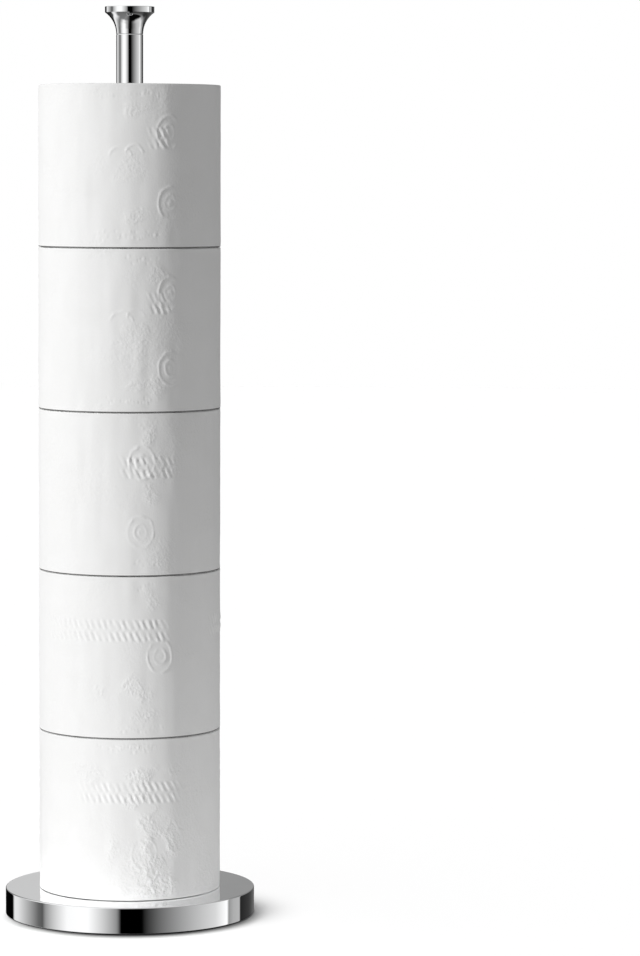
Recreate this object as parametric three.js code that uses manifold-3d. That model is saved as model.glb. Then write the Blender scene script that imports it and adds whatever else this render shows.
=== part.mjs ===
// Freestanding toilet paper holder: a weighted chrome disc carries a straight post with a flared finial,
// and a stack of rolls stands loose on the disc with the post running through their cores.
// Millimetres, +Z up the post, origin in the middle of the underside.

import * as THREE from "three";
import { mergeVertices } from "three/addons/utils/BufferGeometryUtils.js";
import Module from "manifold-3d";

const wasm = await Module();
wasm.setup();

// Overall sizes
const baseDiameter = 150;
const baseHeight = 16; // from the floor to the top face of the disc
const postDiameter = 16;
const postAboveRolls = 30; // bare post between the top roll and the finial
const finialDiameter = 29.4;
const rollCount = 5;
const rollDiameter = 109.2;
const rollWidth = 96.1;

// Fits shared by all pieces
const seatGap = 0.3; // between two faces that rest on each other
const slipGap = 0.3; // all round a piece in its hole

// Base
const coverWall = 1;
const coverEdgeRadius = 0.8; // where the top face rolls over into the side
const padThickness = 2;
const padProud = 0.8; // the strip of rubber that shows below the cover
const padEdge = 0.4;
const padAccessDiameter = 24; // lets a hex key reach the clamp screw
const weightEdge = 1.2; // draft chamfer on the casting's corners

// Clamp screw with its washer, up through the ballast into the foot of the post
const clampThreadDiameter = 8;
const clampHeadDiameter = 14;
const clampHeadHeight = 4.4;
const clampHeadBrim = 0.8; // straight edge of the button head
const clampCrownShare = 0.5; // flat middle of the head, of its radius
const clampSocketAcross = 5; // hexagon, across its flats
const clampSocketDepth = 2.6;
const clampEngagement = 14;
const clampWasherDiameter = 17;
const clampWasherThickness = 1.6;

// Post
const tubeWall = 1.2;
const tubeEdge = 0.3;
const postWasherThickness = 1;
const insertLength = 20;
const insertEdge = 0.6;

// Finial and its stud
const finialFlareHeight = 12.7; // from the joint up to the underside of the rim
const finialRimHeight = 3.5;
const finialRimRadius = 0.6;
const finialFootEdge = 0.2;
const studDiameter = 6;
const studInPost = 14;
const studInFinial = 8;
const studTip = 0.8; // chamfer on the ends of the stud and of the clamp screw
const drillTip = 1.5; // cone left by the drill at the end of the blind hole

// Rolls
const coreBore = 40;
const coreWall = 1;
const sheetThickness = 0.5; // two embossed plies, the step at the outer sheet's free edge
const rimEase = 0.6; // paper rounds over at both ends of the roll
const tailAngles = [62, 118, 84, 131, 101]; // degrees round the post, all on the far side

const overrun = 5; // of every cutter past the face it leaves

// Facets
const broadTurn = 72;
const slimTurn = 40;
const smallTurn = 24;
const cornerSteps = 3;
const rimSteps = 2;
const flareSteps = 10;
const hexSides = 6;
const mergeTolerance = 1e-4;

// Sizes that follow
const baseRadius = baseDiameter / 2;
const postRadius = postDiameter / 2;
const tubeInner = postRadius - tubeWall;
const clampHole = clampThreadDiameter / 2 + slipGap;
const studHole = studDiameter / 2 + slipGap;
const weightRadius = baseRadius - coverWall - slipGap;
const weightBottom = padThickness + seatGap;
const weightTop = baseHeight - coverWall - seatGap;
const counterboreDepth = clampHeadHeight + clampWasherThickness + seatGap + seatGap;
const counterboreRadius = clampWasherDiameter / 2 + slipGap;
const rollFoot = baseHeight + seatGap;
const rollPitch = rollWidth + seatGap;
const stackTop = rollFoot + rollCount * rollPitch - seatGap;
const tubeFoot = baseHeight + seatGap + postWasherThickness + seatGap;
const tubeHead = stackTop + postAboveRolls;
const finialFoot = tubeHead + seatGap;

const finishes = {
  chrome: new THREE.MeshStandardMaterial({ color: 0xdfe1e3, roughness: 0.06, metalness: 1 }),
  iron: new THREE.MeshStandardMaterial({ color: 0x3b3c3e, roughness: 0.7, metalness: 0.6 }),
  steel: new THREE.MeshStandardMaterial({ color: 0xa6a8ab, roughness: 0.35, metalness: 1 }),
  rubber: new THREE.MeshStandardMaterial({ color: 0x1c1c1e, roughness: 0.85, metalness: 0 }),
  nylon: new THREE.MeshStandardMaterial({ color: 0xe6e5e0, roughness: 0.5, metalness: 0 }),
  tissue: new THREE.MeshStandardMaterial({ color: 0xf3f3f2, roughness: 0.95, metalness: 0 }),
  cardboard: new THREE.MeshStandardMaterial({ color: 0xb59f80, roughness: 0.9, metalness: 0 }),
};

// Revolves a profile of [radius, height] points round the Z axis. A profile that starts or ends off the
// axis is closed on itself, so it gives a ring.
function turned(profile, segments) {
  const points = profile.map(([radius, height]) => new THREE.Vector2(radius, height));
  if (profile[0][0] > 0) points.push(points[0].clone());
  return new THREE.LatheGeometry(points, segments).rotateX(Math.PI / 2);
}

// Points of an arc in a profile, angles in degrees from the outward direction.
function arc(centre, radius, from, to, steps) {
  const points = [];
  for (let i = 0; i <= steps; i++) {
    const angle = THREE.MathUtils.degToRad(from + ((to - from) * i) / steps);
    points.push([centre[0] + radius * Math.cos(angle), centre[1] + radius * Math.sin(angle)]);
  }
  return points;
}

// A round ring or bush with a chamfer on each outer corner.
function bush(inner, outer, bottom, top, edge, segments) {
  return turned(
    [
      [inner, bottom],
      [outer - edge, bottom],
      [outer, bottom + edge],
      [outer, top - edge],
      [outer - edge, top],
      [inner, top],
    ],
    segments,
  );
}

function solidFrom(geometry) {
  const bare = geometry.index ? geometry.toNonIndexed() : geometry.clone();
  bare.deleteAttribute("normal");
  bare.deleteAttribute("uv");
  const merged = mergeVertices(bare, mergeTolerance);
  return new wasm.Manifold(
    new wasm.Mesh({
      numProp: 3,
      vertProperties: merged.getAttribute("position").array,
      triVerts: merged.index.array,
    }),
  );
}

function geometryFrom(solid) {
  const { vertProperties, triVerts } = solid.getMesh();
  const geometry = new THREE.BufferGeometry();
  geometry.setAttribute("position", new THREE.BufferAttribute(vertProperties, 3));
  geometry.setIndex(new THREE.BufferAttribute(triVerts, 1));
  return geometry.toNonIndexed();
}

function piece(name, geometry, finish) {
  geometry.computeVertexNormals();
  const mesh = new THREE.Mesh(geometry, finishes[finish]);
  mesh.name = name;
  return mesh;
}

// The cover is a shallow cup, upside down, with the post's screw hole in its middle.
function coverShell() {
  const edgeCentre = [baseRadius - coverEdgeRadius, baseHeight - coverEdgeRadius];
  return turned(
    [
      [clampHole, baseHeight - coverWall],
      [baseRadius - coverWall, baseHeight - coverWall],
      [baseRadius - coverWall, padProud],
      [baseRadius, padProud],
      ...arc(edgeCentre, coverEdgeRadius, 0, 90, cornerSteps),
      [clampHole, baseHeight],
    ],
    broadTurn,
  );
}

// The ballast fills the cover. Its counterbore hides the screw head and the washer.
function weightCasting() {
  const counterboreTop = weightBottom + counterboreDepth;
  return turned(
    [
      [counterboreRadius, weightBottom],
      [weightRadius - weightEdge, weightBottom],
      [weightRadius, weightBottom + weightEdge],
      [weightRadius, weightTop - weightEdge],
      [weightRadius - weightEdge, weightTop],
      [clampHole, weightTop],
      [clampHole, counterboreTop],
      [counterboreRadius, counterboreTop],
    ],
    broadTurn,
  );
}

// The pad is a ring whose outer lower corner is bevelled, so that its edge doesn't curl.
function padRing() {
  const padRadius = weightRadius;
  return turned(
    [
      [padAccessDiameter / 2, 0],
      [padRadius - padEdge, 0],
      [padRadius, padEdge],
      [padRadius, padThickness],
      [padAccessDiameter / 2, padThickness],
    ],
    broadTurn,
  );
}

// Button-head screw, head down, its socket open to the floor.
function clampScrewBody() {
  const bearing = weightBottom + clampHeadHeight;
  const shankTop = tubeFoot + clampEngagement;
  const shank = clampThreadDiameter / 2;
  const headRadius = clampHeadDiameter / 2;
  const flat = headRadius * clampCrownShare;
  const crown = [];
  for (let i = 0; i <= cornerSteps; i++) {
    const angle = ((i / cornerSteps) * Math.PI) / 2;
    const rise = (clampHeadHeight - clampHeadBrim) * (1 - Math.cos(angle));
    crown.push([flat + (headRadius - flat) * Math.sin(angle), weightBottom + rise]);
  }
  const body = turned(
    [
      [0, weightBottom],
      ...crown,
      [headRadius, bearing],
      [shank, bearing],
      [shank, shankTop - studTip],
      [shank - studTip, shankTop],
      [0, shankTop],
    ],
    smallTurn,
  );
  const corner = clampSocketAcross / Math.sqrt(3);
  const socketLength = clampSocketDepth + overrun;
  const socket = new THREE.CylinderGeometry(corner, corner, socketLength, hexSides)
    .rotateX(Math.PI / 2)
    .translate(0, 0, weightBottom + clampSocketDepth - socketLength / 2);
  return geometryFrom(solidFrom(body).subtract(solidFrom(socket)));
}

function studBody() {
  const radius = studDiameter / 2;
  const bottom = tubeHead - studInPost;
  const top = finialFoot + studInFinial;
  return turned(
    [
      [0, bottom],
      [radius - studTip, bottom],
      [radius, bottom + studTip],
      [radius, top - studTip],
      [radius - studTip, top],
      [0, top],
    ],
    smallTurn,
  );
}

// The finial leaves the post tangentially and flares along one arc to a straight rim with a flat top.
// A blind hole from below takes the stud.
function finialTurning() {
  const rimRadius = finialDiameter / 2;
  const reach = rimRadius - postRadius;
  const flareRadius = (finialFlareHeight ** 2 + reach ** 2) / (2 * reach);
  const flareTurn = THREE.MathUtils.radToDeg(2 * Math.atan(reach / finialFlareHeight));
  const flareCentre = [postRadius + flareRadius, 0];
  const flare = arc(flareCentre, flareRadius, 180, 180 - flareTurn, flareSteps);
  const height = finialFlareHeight + finialRimHeight;
  const rimCentre = [rimRadius - finialRimRadius, height - finialRimRadius];
  const holeTop = studInFinial + seatGap;
  return turned(
    [
      [0, holeTop + drillTip],
      [studHole, holeTop],
      [studHole, 0],
      [postRadius - finialFootEdge, 0],
      [postRadius, finialFootEdge],
      ...flare.slice(1),
      ...arc(rimCentre, finialRimRadius, 0, 90, cornerSteps),
      [0, height],
    ],
    slimTurn,
  ).translate(0, 0, finialFoot);
}

// The wound paper: its outline is one turn of a spiral that loses a sheet's thickness on its way round,
// so the outer sheet ends in a step. Both rims are eased, and the bore is cut to run on the core.
function woundPaper(tailAngle) {
  const start = THREE.MathUtils.degToRad(tailAngle);
  const outline = new THREE.Shape();
  for (let i = 0; i <= broadTurn; i++) {
    const turn = i / broadTurn;
    const angle = start + turn * 2 * Math.PI;
    const radius = rollDiameter / 2 - sheetThickness * turn;
    const x = radius * Math.cos(angle);
    const y = radius * Math.sin(angle);
    if (i === 0) outline.moveTo(x, y);
    else outline.lineTo(x, y);
  }
  const block = new THREE.ExtrudeGeometry(outline, {
    depth: rollWidth - 2 * rimEase,
    bevelThickness: rimEase,
    bevelSize: rimEase,
    bevelOffset: -rimEase,
    bevelSegments: rimSteps,
  }).translate(0, 0, rimEase);
  const boreRadius = coreBore / 2 + coreWall + slipGap;
  const boreLength = rollWidth + 2 * overrun;
  const bore = new THREE.CylinderGeometry(boreRadius, boreRadius, boreLength, slimTurn)
    .rotateX(Math.PI / 2)
    .translate(0, 0, rollWidth / 2);
  return geometryFrom(solidFrom(block).subtract(solidFrom(bore)));
}

function baseGroup() {
  const counterboreTop = weightBottom + counterboreDepth;
  const washerTop = counterboreTop - seatGap;
  const washer = bush(
    clampHole,
    clampWasherDiameter / 2,
    washerTop - clampWasherThickness,
    washerTop,
    tubeEdge,
    smallTurn,
  );
  const base = new THREE.Group();
  base.add(piece("base_cover", coverShell(), "chrome"));
  base.add(piece("base_weight", weightCasting(), "iron"));
  base.add(piece("floor_pad", padRing(), "rubber"));
  base.add(piece("clamp_washer", washer, "steel"));
  base.add(piece("clamp_screw", clampScrewBody(), "steel"));
  return base;
}

function postGroup() {
  const washerFoot = baseHeight + seatGap;
  const washerTop = washerFoot + postWasherThickness;
  const insertRadius = tubeInner - slipGap;
  const washer = bush(clampHole, postRadius, washerFoot, washerTop, tubeEdge, slimTurn);
  const tube = bush(tubeInner, postRadius, tubeFoot, tubeHead, tubeEdge, slimTurn);
  const footInsert = bush(
    clampHole,
    insertRadius,
    tubeFoot,
    tubeFoot + insertLength,
    insertEdge,
    slimTurn,
  );
  const headInsert = bush(
    studHole,
    insertRadius,
    tubeHead - insertLength,
    tubeHead,
    insertEdge,
    slimTurn,
  );
  const post = new THREE.Group();
  post.add(piece("post_washer", washer, "nylon"));
  post.add(piece("post_tube", tube, "chrome"));
  post.add(piece("post_foot_insert", footInsert, "steel"));
  post.add(piece("post_head_insert", headInsert, "steel"));
  post.add(piece("finial_stud", studBody(), "steel"));
  post.add(piece("finial", finialTurning(), "chrome"));
  return post;
}

// Rolls are numbered from the bottom of the stack. Each stands on the one below.
function rollGroup(number) {
  const bore = coreBore / 2;
  const core = turned(
    [
      [bore, 0],
      [bore + coreWall, 0],
      [bore + coreWall, rollWidth],
      [bore, rollWidth],
    ],
    slimTurn,
  );
  const tailAngle = tailAngles[(number - 1) % tailAngles.length];
  const roll = new THREE.Group();
  roll.add(piece(`roll_${number}_core`, core, "cardboard"));
  roll.add(piece(`roll_${number}_paper`, woundPaper(tailAngle), "tissue"));
  roll.position.z = rollFoot + (number - 1) * rollPitch;
  return roll;
}

const holder = new THREE.Group();
holder.add(baseGroup());
holder.add(postGroup());
for (let number = 1; number <= rollCount; number++) holder.add(rollGroup(number));

export default holder;
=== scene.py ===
import math

import bpy
import numpy as np
from mathutils import Matrix


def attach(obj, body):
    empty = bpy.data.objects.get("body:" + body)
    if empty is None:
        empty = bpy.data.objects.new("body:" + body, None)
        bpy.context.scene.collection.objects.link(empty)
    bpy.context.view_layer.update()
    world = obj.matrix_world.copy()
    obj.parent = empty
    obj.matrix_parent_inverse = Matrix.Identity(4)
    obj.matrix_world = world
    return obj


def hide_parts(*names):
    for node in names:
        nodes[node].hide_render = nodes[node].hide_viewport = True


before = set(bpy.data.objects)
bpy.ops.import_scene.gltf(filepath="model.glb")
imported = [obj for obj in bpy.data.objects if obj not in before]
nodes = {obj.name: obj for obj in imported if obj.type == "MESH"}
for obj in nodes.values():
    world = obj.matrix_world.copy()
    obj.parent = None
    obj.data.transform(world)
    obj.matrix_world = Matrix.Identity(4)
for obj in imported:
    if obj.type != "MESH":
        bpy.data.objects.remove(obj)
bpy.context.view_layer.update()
mm = 0.001  # the numbers below are in mm where they are multiplied by this
mergeWithin = 2e-6  # m
onSurface = 0.02  # mm, for points that count as lying on a surface
turnedSmooth = 30  # degrees, below which the edges of turned pieces are smooth
levelFace = 0.9  # least upward or downward part of the normal of a level face
scene = bpy.context.scene
scene.view_settings.view_transform = "Standard"
print("frame loaded:", len(nodes), "nodes")


# helpers for modelling

def clearSelection():
    if bpy.context.object and bpy.context.object.mode != "OBJECT":
        bpy.ops.object.mode_set(mode="OBJECT")
    bpy.ops.object.select_all(action="DESELECT")


def activate(piece):
    clearSelection()
    piece.select_set(True)
    bpy.context.view_layer.objects.active = piece


def pick(values, names):
    return [values[name] for name in names.split()]


# Points of an arc in a profile, angles in degrees from the outward direction.
def arcPoints(centreOut, centreUp, radius, start, end, steps):
    angles = [math.radians(start + (end - start) * i / steps) for i in range(steps + 1)]
    return [(centreOut + radius * math.cos(a), centreUp + radius * math.sin(a)) for a in angles]


# Draws a closed outline of (out from the post's axis, up) points in mm, point by point, and spins it.
def turnOutline(name, outline, around):
    clearSelection()
    bpy.ops.mesh.primitive_plane_add(location=(0, 0, 0))  # merged to one point below
    piece = bpy.context.object
    piece.name = name
    piece.data.name = name
    bpy.ops.object.mode_set(mode="EDIT")
    bpy.ops.mesh.select_mode(type="VERT")
    bpy.ops.mesh.select_all(action="SELECT")
    bpy.ops.mesh.merge(type="CENTER")
    bpy.ops.transform.translate(value=(outline[0][0] * mm, 0, outline[0][1] * mm))
    for before, after in zip(outline, outline[1:]):
        move = ((after[0] - before[0]) * mm, 0, (after[1] - before[1]) * mm)
        bpy.ops.mesh.extrude_vertices_move(TRANSFORM_OT_translate={"value": move})
    bpy.ops.mesh.select_all(action="SELECT")
    bpy.ops.mesh.spin(steps=around, angle=2 * math.pi, center=(0, 0, 0), axis=(0, 0, 1))
    bpy.ops.mesh.select_all(action="SELECT")
    bpy.ops.mesh.remove_doubles(threshold=mergeWithin)
    bpy.ops.mesh.normals_make_consistent(inside=False)
    bpy.ops.object.mode_set(mode="OBJECT")
    return piece


def readSpots(mesh):
    spots = np.zeros(len(mesh.vertices) * 3)
    mesh.vertices.foreach_get("co", spots)
    return spots.reshape(-1, 3) / mm


def writeSpots(mesh, spots):
    mesh.vertices.foreach_set("co", (spots * mm).ravel())
    mesh.update()


def smoothShade(piece, degrees):
    activate(piece)
    bpy.ops.object.shade_smooth_by_angle(angle=math.radians(degrees))


def finishPiece(piece, materials, body, node):
    piece.data.materials.clear()
    for material in materials:
        piece.data.materials.append(material)
    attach(piece, body)
    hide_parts(node)
    return piece


# A turned piece of the holder.
def turnPiece(name, outline, around, finish, node):
    piece = turnOutline(name, outline, around)
    smoothShade(piece, turnedSmooth)
    return finishPiece(piece, [finish], "holder", node)


# helpers for node trees

def addNode(tree, kind, **settings):
    made = tree.nodes.new(kind)
    for key, value in settings.items():
        setattr(made, key, value)
    return made


def feed(tree, source, target):
    if isinstance(source, bpy.types.NodeSocket):
        tree.links.new(source, target)
    else:
        target.default_value = source


def calc(tree, operation, first, second=0.0, third=0.0, clamp=False):
    made = addNode(tree, "ShaderNodeMath", operation=operation, use_clamp=clamp)
    for source, target in zip((first, second, third), made.inputs):
        feed(tree, source, target)
    return made.outputs[0]


# A smooth step from bottom to top while the value goes from low to high.
def ease(tree, value, low, high, bottom=0.0, top=1.0):
    made = addNode(tree, "ShaderNodeMapRange", interpolation_type="SMOOTHSTEP")
    for source, target in zip((value, low, high, bottom, top), made.inputs):
        feed(tree, source, target)
    return made.outputs["Result"]


def mixColour(tree, share, first, second):
    made = addNode(tree, "ShaderNodeMix", data_type="RGBA")
    for source, target in zip((share, first, second), (made.inputs[0], made.inputs[6], made.inputs[7])):
        feed(tree, source, target)
    return made.outputs[2]


def ramp(tree, value, stops):
    made = addNode(tree, "ShaderNodeValToRGB")
    line = made.color_ramp.elements
    line[0].position = stops[0][0]
    line[1].position = stops[-1][0]
    for place, _ in stops[1:-1]:
        line.new(place)
    for element, (_, level) in zip(line, stops):
        element.color = (level, level, level, 1)
    feed(tree, value, made.inputs[0])
    return made.outputs[0]


def noise(tree, place, scale, detail):
    made = addNode(tree, "ShaderNodeTexNoise")
    feed(tree, place, made.inputs["Vector"])
    made.inputs["Scale"].default_value = scale
    made.inputs["Detail"].default_value = detail
    return made.outputs[0]


# A group that takes a place and some numbers, with their values at first, and gives numbers.
def newGroup(name, inputs, outputs):
    group = bpy.data.node_groups.new(name, "ShaderNodeTree")
    group.interface.new_socket("Vector", in_out="INPUT", socket_type="NodeSocketVector")
    for label, value in inputs.items():
        socket = group.interface.new_socket(label, in_out="INPUT", socket_type="NodeSocketFloat")
        socket.default_value = value
    for label in outputs:
        group.interface.new_socket(label, in_out="OUTPUT", socket_type="NodeSocketFloat")
    return group, addNode(group, "NodeGroupInput"), addNode(group, "NodeGroupOutput")


def useGroup(tree, group, **values):
    made = addNode(tree, "ShaderNodeGroup", node_tree=group)
    for label, value in values.items():
        feed(tree, value, made.inputs[label])
    return made


def newMaterial(name):
    material = bpy.data.materials.new(name)
    material.use_nodes = True
    tree = material.node_tree
    shader = tree.nodes["Principled BSDF"]
    where = addNode(tree, "ShaderNodeTexCoord").outputs["Object"]
    return material, tree, shader, where


# Colour, roughness and bump of a finish; the bump has a strength and a depth in m.
def dressShader(tree, shader, colour, roughness, height, bump):
    made = addNode(tree, "ShaderNodeBump")
    made.inputs["Strength"].default_value, made.inputs["Distance"].default_value = bump
    feed(tree, height, made.inputs["Height"])
    for source, label in ((colour, "Base Color"), (roughness, "Roughness"), (made.outputs[0], "Normal")):
        feed(tree, source, shader.inputs[label])


# camera, at the photograph's angle

cameraSet = {
    "place": (0.0, -2.393, 0.4454),
    # degrees that it looks down, looks to the right, and is turned about its own line of sight
    "down": 4.352,
    "right": 2.734,
    "turn": 0.179,
    "lens": 150.33,
    "sensor": 36,
    "nearest": 0.05,
    "farthest": 60,
}


def placeCamera(values):
    clearSelection()
    bpy.ops.object.camera_add(location=values["place"])
    camera = bpy.context.object
    camera.name = "photoCamera"
    turn = Matrix.Rotation(-math.radians(values["right"]), 3, "Z")
    turn = turn @ Matrix.Rotation(math.pi / 2 - math.radians(values["down"]), 3, "X")
    turn = turn @ Matrix.Rotation(math.radians(values["turn"]), 3, "Z")
    camera.rotation_euler = turn.to_euler()
    camera.data.lens = values["lens"]
    camera.data.sensor_width = values["sensor"]
    camera.data.clip_start = values["nearest"]
    camera.data.clip_end = values["farthest"]
    scene.camera = camera


placeCamera(cameraSet)
print("camera placed")


# studio: white surroundings, with dark cards and graded silks that only the metal sees

studioSet = {
    # degrees round from the camera side, right positive, and how bright the surroundings are there
    "cards": (
        (-180, 0.10), (-175, 0.06), (-170, 0.003), (-139, 0.0), (-135, 0.84), (-127, 0.81),
        (-111, 0.48), (-100, 0.26), (-94, 0.14), (-88.5, 0.10), (-85, 0.31), (-76, 0.59), (-60, 1.05),
        (-40, 1.10), (-12, 0.28), (-9, 0.0), (11, 0.0), (20, 0.075), (40, 0.28), (60, 0.49),
        (86, 0.74), (102, 1.13), (103.6, 0.31), (111, 0.45), (122.2, 0.50), (123.8, 0.02),
        (144, 0.045), (153, 0.075), (160, 0.12), (180, 0.17),
    ),
    # the same above the horizon, for the tops, and in three steps below it, for the flare
    "sky": (
        (-180, 0.60), (-172, 0.60), (-160, 0.2), (-140, 0.2), (-110, 0.9), (-40, 1.1), (-10, 0.6),
        (0, 0.4), (100, 0.4), (120, 0.24), (160, 0.24), (172, 0.31), (180, 0.31),
    ),
    "low": (
        (-180, 0.3), (-166, 0.01), (-150, 0.03), (-138, 0.1), (-135, 0.84), (-127, 0.95), (-114, 0.62),
        (-101, 0.33), (-89, 0.17), (-78, 0.42), (-66, 0.88), (-54, 1.1), (-40, 1.08), (-30, 0.56),
        (-18, 0.36), (-9, 0.03), (0, 0.0), (12, 0.002), (20, 0.04), (30, 0.16), (42, 0.27), (54, 0.43),
        (66, 0.57), (78, 0.6), (90, 0.8), (101, 0.82), (104, 0.5), (114, 0.33), (123, 0.12),
        (138, 0.03), (156, 0.07), (180, 0.3),
    ),
    "deep": (
        (-180, 0.3), (-160, 0.6), (-148, 0.8), (-126, 1.0), (-114, 0.76), (-102, 0.41), (-90, 0.18),
        (-80, 0.3), (-66, 0.72), (-54, 1.05), (-42, 0.83), (-30, 0.47), (-18, 0.33), (-8, 0.04),
        (0, 0.0), (12, 0.002), (20, 0.04), (30, 0.17), (42, 0.33), (54, 0.49), (66, 0.58), (78, 0.65),
        (90, 0.76), (100, 0.6), (106, 0.35), (116, 0.24), (124, 0.03), (156, 0.03), (180, 0.3),
    ),
    "ground": (
        (-180, 0.1), (-150, 0.15), (-60, 0.2), (-50, 0.25), (-34, 0.22), (-18, 0.15), (-8, 0.05),
        (2, 0.002), (106, 0.002), (112, 0.15), (120, 0.13), (130, 0.07), (140, 0.08), (150, 0.01),
        (180, 0.1),
    ),
    # sines of the height, or of the depth, between which each takes over
    "skyStarts": (0.05, 0.11),
    "overheadStarts": (0.5, 0.95),
    "lowStarts": (0.26, 0.4),
    "deepStarts": (0.6, 0.7),
    "groundStarts": (0.74, 0.85),
    "thrownStarts": (0.0, 0.1),
    # how much deeper the ground step starts, round about
    "groundDip": (
        (-180, 0), (-120, 0), (-102, 0.045), (-90, 0.01), (-66, 0.02), (-54, 0.035), (-42, 0.025),
        (-30, 0.045), (-18, 0.05), (-6, 0), (42, 0), (54, 0.025), (78, 0.018), (88, 0), (180, 0),
    ),
    "overhead": 0.75,
    "backdrop": (1, 1, 1, 1),
    # what the polished base throws up on to the rolls, also round about
    "thrown": (
        (-180, 0.78), (-70, 0.78), (-42, 1.1), (-22, 3.3), (-4, 4.4), (10, 3.4), (22, 2.3), (42, 0.75),
        (90, 0.78), (180, 0.78),
    ),
    # the light that falls on everything else, from straight below to overhead
    "dome": ((0.0, 0.18), (0.5, 0.21), (0.62, 0.23), (0.85, 0.32), (1.0, 0.42)),
}


def dressWorld(values):
    world = bpy.data.worlds.new("studio")
    scene.world = world
    world.use_nodes = True
    tree = world.node_tree
    back = tree.nodes["Background"]
    path = addNode(tree, "ShaderNodeLightPath")
    toward = addNode(tree, "ShaderNodeSeparateXYZ")
    feed(tree, addNode(tree, "ShaderNodeTexCoord").outputs["Generated"], toward.inputs[0])
    across, along, up = toward.outputs
    turn = calc(tree, "ARCTAN2", across, calc(tree, "MULTIPLY", along, -1.0))
    place = calc(tree, "MULTIPLY_ADD", turn, 0.5 / math.pi, 0.5)
    around = {
        step: ramp(tree, place, [((a + 180) / 360, level) for a, level in values[step]])
        for step in ("cards", "sky", "low", "deep", "ground", "groundDip", "thrown")
    }
    seen = mixColour(tree, ease(tree, up, *values["skyStarts"]), around["cards"], around["sky"])
    overhead = [values["overhead"]] * 3 + [1]
    seen = mixColour(tree, ease(tree, up, *values["overheadStarts"]), seen, overhead)
    down = calc(tree, "MULTIPLY", up, -1.0)
    seen = mixColour(tree, ease(tree, down, *values["lowStarts"]), seen, around["low"])
    seen = mixColour(tree, ease(tree, down, *values["deepStarts"]), seen, around["deep"])
    dipped = calc(tree, "SUBTRACT", down, around["groundDip"])
    seen = mixColour(tree, ease(tree, dipped, *values["groundStarts"]), seen, around["ground"])
    height = calc(tree, "MULTIPLY_ADD", up, 0.5, 0.5)
    dome = ramp(tree, height, values["dome"])
    glossy, through = path.outputs["Is Glossy Ray"], path.outputs["Is Transmission Ray"]
    mirrored = calc(tree, "ADD", glossy, through, clamp=True)
    light = mixColour(tree, mirrored, dome, seen)
    afterPaper = calc(tree, "GREATER_THAN", path.outputs["Diffuse Depth"], 0.5)
    thrown = calc(tree, "MULTIPLY", mirrored, afterPaper)
    thrown = calc(tree, "MULTIPLY", thrown, ease(tree, up, *values["thrownStarts"]))
    light = mixColour(tree, thrown, light, around["thrown"])
    light = mixColour(tree, path.outputs["Is Camera Ray"], light, values["backdrop"])
    feed(tree, light, back.inputs["Color"])


dressWorld(studioSet)
print("studio surroundings made")


# floor: a pale disc that keeps the shadow of the base, with a painted contact shadow in its colour and a
# painted glow that it gives back to the object

floorSet = {
    "radius": 6.0,
    "insetShare": 0.5,
    "sides": 96,
    "colour": (0.9, 0.9, 0.9),
    "mottled": 0.985,
    "mottle": (900.0, 3.0),
    "shaded": (0.02, 0.02, 0.02, 1),
    # painted bounce light, what the floor gives back to the object: for every ray but the camera's it glows
    # with this, brightest round a spot to the right, by distance in m
    "bounce": (
        (0.0, 0.86), (0.12, 0.91), (0.2, 1.02), (0.26, 0.85), (0.33, 0.4), (0.38, 0.1), (0.45, 0.13),
        (0.56, 0.27), (0.7, 0.29), (1.0, 0.38),
    ),
    "bounceSpot": (0.22, -0.19, 0.0),
    # painted contact shadow in mm: the floor's colour goes dark towards the base, deepest close in under the
    # front edge
    "contactSpot": (0.001, -0.0053, 0.0),
    "contactWide": (1.035, 1.0, 1.0),
    "contact": (69.8, 86.0),
    "contactFront": (0.02, -0.05, 0.15, 1.0),
}


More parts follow.
